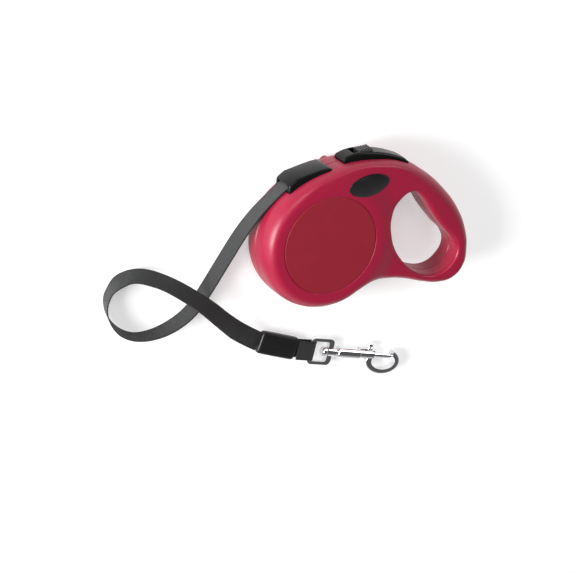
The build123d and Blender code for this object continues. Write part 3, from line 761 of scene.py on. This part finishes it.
class LEASH_OT_tape(bpy.types.Operator):
    """Free tape from the nozzle to the sleeve"""
    bl_idname = "leash.tape"
    bl_label = "Free Tape"

    def execute(self, context):
        sizes = context.scene.leash_tape
        centre = self.route_line()
        rows = self.rows(centre, sizes.width)
        tape = sheet_piece("tape_ribbon", rows)
        apply_modifier(tape, "SOLIDIFY", thickness=sizes.thickness, offset=0.0)
        settle(tape, 50.0)
        finish_piece(tape, "Tape webbing", "tape_webbing", "housing", "tape_free")
        tape["centreline"] = [c for point in centre for c in point]
        return {"FINISHED"}

    def route_line(self):
        curve = bpy.data.curves.new("Tape route", "CURVE")
        curve.dimensions = "3D"
        spline = curve.splines.new("NURBS")
        points = [TAPE_EXIT, *TAPE_ROUTE]
        spline.points.add(len(points) - 1)
        for control, point in zip(spline.points, points):
            control.co = (*point, 1.0)
        spline.order_u = 3
        spline.use_endpoint_u = True
        spline.resolution_u = 14
        return line_of(curve)

    def rows(self, centre, width):
        """Points across the tape at each place along it, leaning as the table of leans says."""
        rows = []
        last = len(centre) - 1
        for i, point in enumerate(centre):
            along = (centre[min(i + 1, last)] - centre[max(i - 1, 0)]).normalized()
            upright = (Vector((0, 0, 1)) - along * along.z).normalized()
            level = along.cross(upright)
            lean = math.radians(self.lean(i / last))
            across = upright * math.cos(lean) + level * math.sin(lean)
            columns = 9
            rows.append([point + across * width * (c / (columns - 1) - 0.5) for c in range(columns)])
        return rows

    def lean(self, share):
        for (start, low), (end, high) in zip(TAPE_LEAN, TAPE_LEAN[1:]):
            if share <= end:
                return low + (high - low) * smooth_step(share, start, end)
        return TAPE_LEAN[-1][1]


class LEASH_OT_sleeve(bpy.types.Operator):
    """Rubber sleeve and the tape's end loop; removes the free tape's stored centre line"""
    bl_idname = "leash.sleeve"
    bl_label = "Sleeve and End Loop"

    def execute(self, context):
        sleeve = self.sleeve()
        loop = self.end_loop(context.scene.leash_tape)
        tape = bpy.data.objects["tape_ribbon"]
        del tape["centreline"]
        return {"FINISHED"}

    def sleeve(self):
        start, end = Vector(SLEEVE_START), Vector(SLEEVE_END)
        run = end - start
        bpy.ops.object.select_all(action="DESELECT")
        bpy.ops.mesh.primitive_cube_add(size=1.0)
        piece = new_piece("rubber_sleeve")
        piece.scale = (run.length * MM, SLEEVE_WIDTH * MM, SLEEVE_HEIGHT * MM)
        only(piece)
        bpy.ops.object.transform_apply(location=False, rotation=False, scale=True)
        bpy.ops.object.mode_set(mode="EDIT")
        for place in (-0.44, -0.40, -0.2, 0.0, 0.2, 0.40, 0.44):
            bpy.ops.mesh.select_all(action="SELECT")
            bpy.ops.mesh.bisect(plane_co=(place * run.length * MM, 0, 0), plane_no=(1, 0, 0))
        for place in (-0.25, 0.0, 0.25):
            bpy.ops.mesh.select_all(action="SELECT")
            bpy.ops.mesh.bisect(plane_co=(0, place * SLEEVE_WIDTH * MM, 0), plane_no=(0, 1, 0))
        bpy.ops.object.mode_set(mode="OBJECT")
        for vertex in piece.data.vertices:
            share = vertex.co.x / (run.length * MM)
            swell = 1.0 - 0.10 * smooth_step(abs(share), 0.36, 0.5) - 0.05 * smooth_step(abs(share), 0.0, 0.3)
            edge = abs(vertex.co.y) / (SLEEVE_WIDTH / 2 * MM)
            vertex.co.z *= swell * (1.0 - 0.12 * smooth_step(edge, 0.3, 1.0))
            vertex.co.y *= 1.0 - 0.05 * smooth_step(abs(share), 0.40, 0.5)
        apply_modifier(piece, "BEVEL", width=1.6 * MM, segments=4, limit_method="ANGLE", angle_limit=0.9)
        apply_modifier(piece, "SUBSURF", levels=1, render_levels=1)
        middle = (start + end) / 2 * MM
        piece.rotation_euler = (0, 0, math.atan2(run.y, run.x))
        piece.location = (middle.x, middle.y, SNAP_HEIGHT * MM)
        settle(piece, 40.0)
        return finish_piece(piece, "Sleeve rubber", "sleeve_rubber", "housing", "tape_sleeve")

    def end_loop(self, sizes):
        """The tape doubled round the bar of the swivel eye."""
        inner = 2.3
        line = [(-10.2, -inner), (-6.0, -inner), (-1.0, -inner)]
        steps = 10
        for step in range(steps + 1):
            angle = -math.pi / 2 + math.pi * step / steps
            line.append((inner * math.cos(angle), inner * math.sin(angle)))
        line += [(-1.0, inner), (-6.0, inner), (-10.2, inner)]
        turn = Matrix.Translation((SNAP_ORIGIN[0], SNAP_ORIGIN[1], SNAP_HEIGHT)) @ Matrix.Rotation(
            math.radians(SNAP_ANGLE), 4, "Z")
        rows = []
        for x, z in line:
            rows.append([turn @ Vector((x, TAPE_WIDTH * (c / 8 - 0.5), z)) * MM for c in range(9)])
        piece = sheet_piece("end_loop_ribbon", rows)
        apply_modifier(piece, "SOLIDIFY", thickness=sizes.thickness, offset=0.0)
        settle(piece, 50.0)
        return finish_piece(piece, "Tape webbing", "tape_webbing", "housing", "tape_end_loop")


class LEASH_OT_housing(bpy.types.Operator):
    """Two halves of the housing"""
    bl_idname = "leash.housing"
    bl_label = "Housing Halves"

    def execute(self, context):
        for name, side, stands_for in (("upper_half", 1, "left_shell"), ("lower_half", -1, "right_shell")):
            piece = half_shell(name, side)
            apply_modifier(piece, "SOLIDIFY", thickness=SHELL_WALL * MM, offset=-1.0, use_even_offset=False)
            cut(piece, nozzle_blank("Nozzle seat", 0.1))
            cut(piece, prism("Button window", BUTTON_WINDOW, MIDDLE - BUTTON_WINDOW_HALF,
                             MIDDLE + BUTTON_WINDOW_HALF))
            bpy.ops.object.select_all(action="DESELECT")
            bpy.ops.mesh.primitive_torus_add(
                location=(0, 0, (MIDDLE + side * (FACE_HALF + 0.05)) * MM), major_radius=PANEL_RADIUS * MM,
                minor_radius=0.55 * MM, major_segments=160, minor_segments=16)
            cut(piece, new_piece("Panel groove"))
            if side < 0:
                self.screw_seats(piece)
            settle(piece, 30.0)
            finish_piece(piece, "Housing red", "shell_red", "housing", stands_for)
        refinish("Zinc steel", "shell_screws")
        return {"FINISHED"}

    def screw_seats(self, piece):
        """A counterbored boss round each screw."""
        for x, y in SCREWS:
            cut(piece, lathe("Bore", [(0.0, -1.0), (2.3, -1.0), (2.3, 7.0), (0.0, 7.0)], (x, y), 32))
        for x, y in SCREWS:
            low = MIDDLE - half_thickness(x, y) + 1.0
            seat = lathe("Seat", [(2.3, low), (3.3, low), (3.3, 15.5), (1.15, 15.5), (1.15, 7.0), (2.3, 7.0)],
                         (x, y), 32)
            only(piece)
            seat.select_set(True)
            bpy.ops.object.join()


class LEASH_OT_badges(bpy.types.Operator):
    """Domed oval badges, without lettering"""
    bl_idname = "leash.badges"
    bl_label = "Badges"

    def execute(self, context):
        for name, side, stands_for in (("upper_badge", 1, "left_badge"), ("lower_badge", -1, "right_badge")):
            piece = lathe(name, [(0.0, -1.2), (0.97, -1.2), (1.0, -0.4), (1.0, 0.25), (0.985, 0.42),
                                 (0.95, 0.44), (0.93, 0.30), (0.90, 0.34), (0.7, 0.62), (0.4, 0.80),
                                 (0.0, 0.86)], (0.0, 0.0), 96)
            cx, cy = BADGE_CENTRE
            height = half_thickness(cx, cy)
            for vertex in piece.data.vertices:
                x = cx + vertex.co.x / MM * BADGE_SIZE[0]
                y = cy + vertex.co.y / MM * BADGE_SIZE[1]
                follow = half_thickness(x, y) - height
                z = MIDDLE + side * (height + vertex.co.z / MM + follow)
                vertex.co = Vector((x, y, z)) * MM
            outward(piece)
            settle(piece, 40.0)
            finish_piece(piece, "Badge black", "badge_black", "housing", stands_for)
        return {"FINISHED"}


class LEASH_OT_nozzle(bpy.types.Operator):
    """Nozzle, its guides and the tape inside it"""
    bl_idname = "leash.nozzle"
    bl_label = "Exit Nozzle"

    def execute(self, context):
        insert = nozzle_blank("nozzle_insert", 0.0)
        cut(insert, prism("Channel", NOZZLE_CHANNEL, MIDDLE - 6.6, MIDDLE + 6.6))
        outward(insert)
        settle(insert, 35.0)
        finish_piece(insert, "Black plastic", "black_plastic", "housing", "exit_nozzle")
        refinish("Polished steel", "guide_pin", "roller_pin")
        refinish("Grey plastic", "guide_roller")
        low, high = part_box("tape_lead")
        start = Vector((high.x, high.y, MIDDLE * MM))
        end = Vector(TAPE_EXIT)
        middle = Vector((low.x * 0.85 + high.x * 0.15, high.y, MIDDLE * MM))
        rows = []
        steps = 24
        for step in range(steps + 1):
            share = step / steps
            point = start * (1 - share) ** 2 + middle * 2 * share * (1 - share) + end * share ** 2
            rows.append([point + Vector((0, 0, TAPE_WIDTH * MM * (c / 8 - 0.5))) for c in range(9)])
        lead = sheet_piece("lead_ribbon", rows)
        apply_modifier(lead, "SOLIDIFY", thickness=TAPE_THICKNESS * MM, offset=0.0)
        settle(lead, 50.0)
        finish_piece(lead, "Tape webbing", "tape_webbing", "housing", "tape_lead")
        return {"FINISHED"}


class LEASH_OT_brake(bpy.types.Operator):
    """Brake button, its lock slider, pawl, pin and spring"""
    bl_idname = "leash.brake"
    bl_label = "Brake"

    def execute(self, context):
        refinish("Black plastic", "brake_button", "brake_pawl")
        refinish("Grey plastic", "lock_slider")
        refinish("Polished steel", "button_pin")
        refinish("Spring steel", "button_spring")
        return {"FINISHED"}


class LEASH_OT_reel(bpy.types.Operator):
    """Reel, its axle and springs, and the wound tape"""
    bl_idname = "leash.reel"
    bl_label = "Reel"

    def execute(self, context):
        refinish("White acetal", "reel_drum", "reel_cover")
        refinish("Polished steel", "reel_axle")
        refinish("Zinc steel", "reel_washers", "spring_arbor")
        refinish("Spring steel", "mainspring")
        low, high = MIDDLE - TAPE_WIDTH / 2, MIDDLE + TAPE_WIDTH / 2
        first, last = WOUND_RADII
        profile = [(first, low)]
        for layer in range(WOUND_LAYERS):
            start = first + (last - first) * layer / WOUND_LAYERS
            end = first + (last - first) * (layer + 1) / WOUND_LAYERS
            profile += [(start + 0.05, low + 0.1), ((start + end) / 2, low), (end - 0.05, low + 0.1)]
        profile.append((last, low))
        profile += [(radius, 2 * MIDDLE - height) for radius, height in reversed(profile)]
        piece = lathe("wound_turns", profile, (0.0, 0.0), 96)
        settle(piece, 30.0)
        finish_piece(piece, "Tape webbing", "tape_webbing", "reel", "wound_tape")
        return {"FINISHED"}


class LEASH_OT_snap(bpy.types.Operator):
    """Bolt snap"""
    bl_idname = "leash.snap"
    bl_label = "Bolt Snap"

    def execute(self, context):
        refinish("Chrome", "swivel_eye", "swivel_rivet", "hook_body", "hook_bolt")
        refinish("Spring steel", "bolt_spring")
        return {"FINISHED"}


class LEASH_PT_panel(bpy.types.Panel):
    """Lists the steps and the settings"""
    bl_label = "Leash"
    bl_space_type = "VIEW_3D"
    bl_region_type = "UI"
    bl_category = "Leash"

    def draw(self, context):
        for group in (context.scene.leash_stage, context.scene.leash_finish, context.scene.leash_tape):
            for name in type(group).__annotations__:
                self.layout.prop(group, name)
        for step in STEPS:
            self.layout.operator(step.bl_idname)


STEPS = (LEASH_OT_stage, LEASH_OT_tape, LEASH_OT_sleeve, LEASH_OT_housing, LEASH_OT_badges, LEASH_OT_nozzle,
         LEASH_OT_brake, LEASH_OT_reel, LEASH_OT_snap)
GROUPS = {"leash_finish": LeashFinish, "leash_stage": LeashStage, "leash_tape": LeashTape}


def register():
    for kind in (*GROUPS.values(), *STEPS, LEASH_PT_panel):
        bpy.utils.register_class(kind)
    for name, kind in GROUPS.items():
        setattr(bpy.types.Scene, name, PointerProperty(type=kind))


def unregister():
    for name in GROUPS:
        delattr(bpy.types.Scene, name)
    for kind in (LEASH_PT_panel, *reversed(STEPS), *GROUPS.values()):
        bpy.utils.unregister_class(kind)


def main():
    register()
    bpy.ops.leash.stage()
    bpy.ops.leash.tape()
    bpy.ops.leash.sleeve()
    bpy.ops.leash.housing()
    bpy.ops.leash.badges()
    bpy.ops.leash.nozzle()
    bpy.ops.leash.brake()
    bpy.ops.leash.reel()
    bpy.ops.leash.snap()


if __name__ == "__main__":
    main()
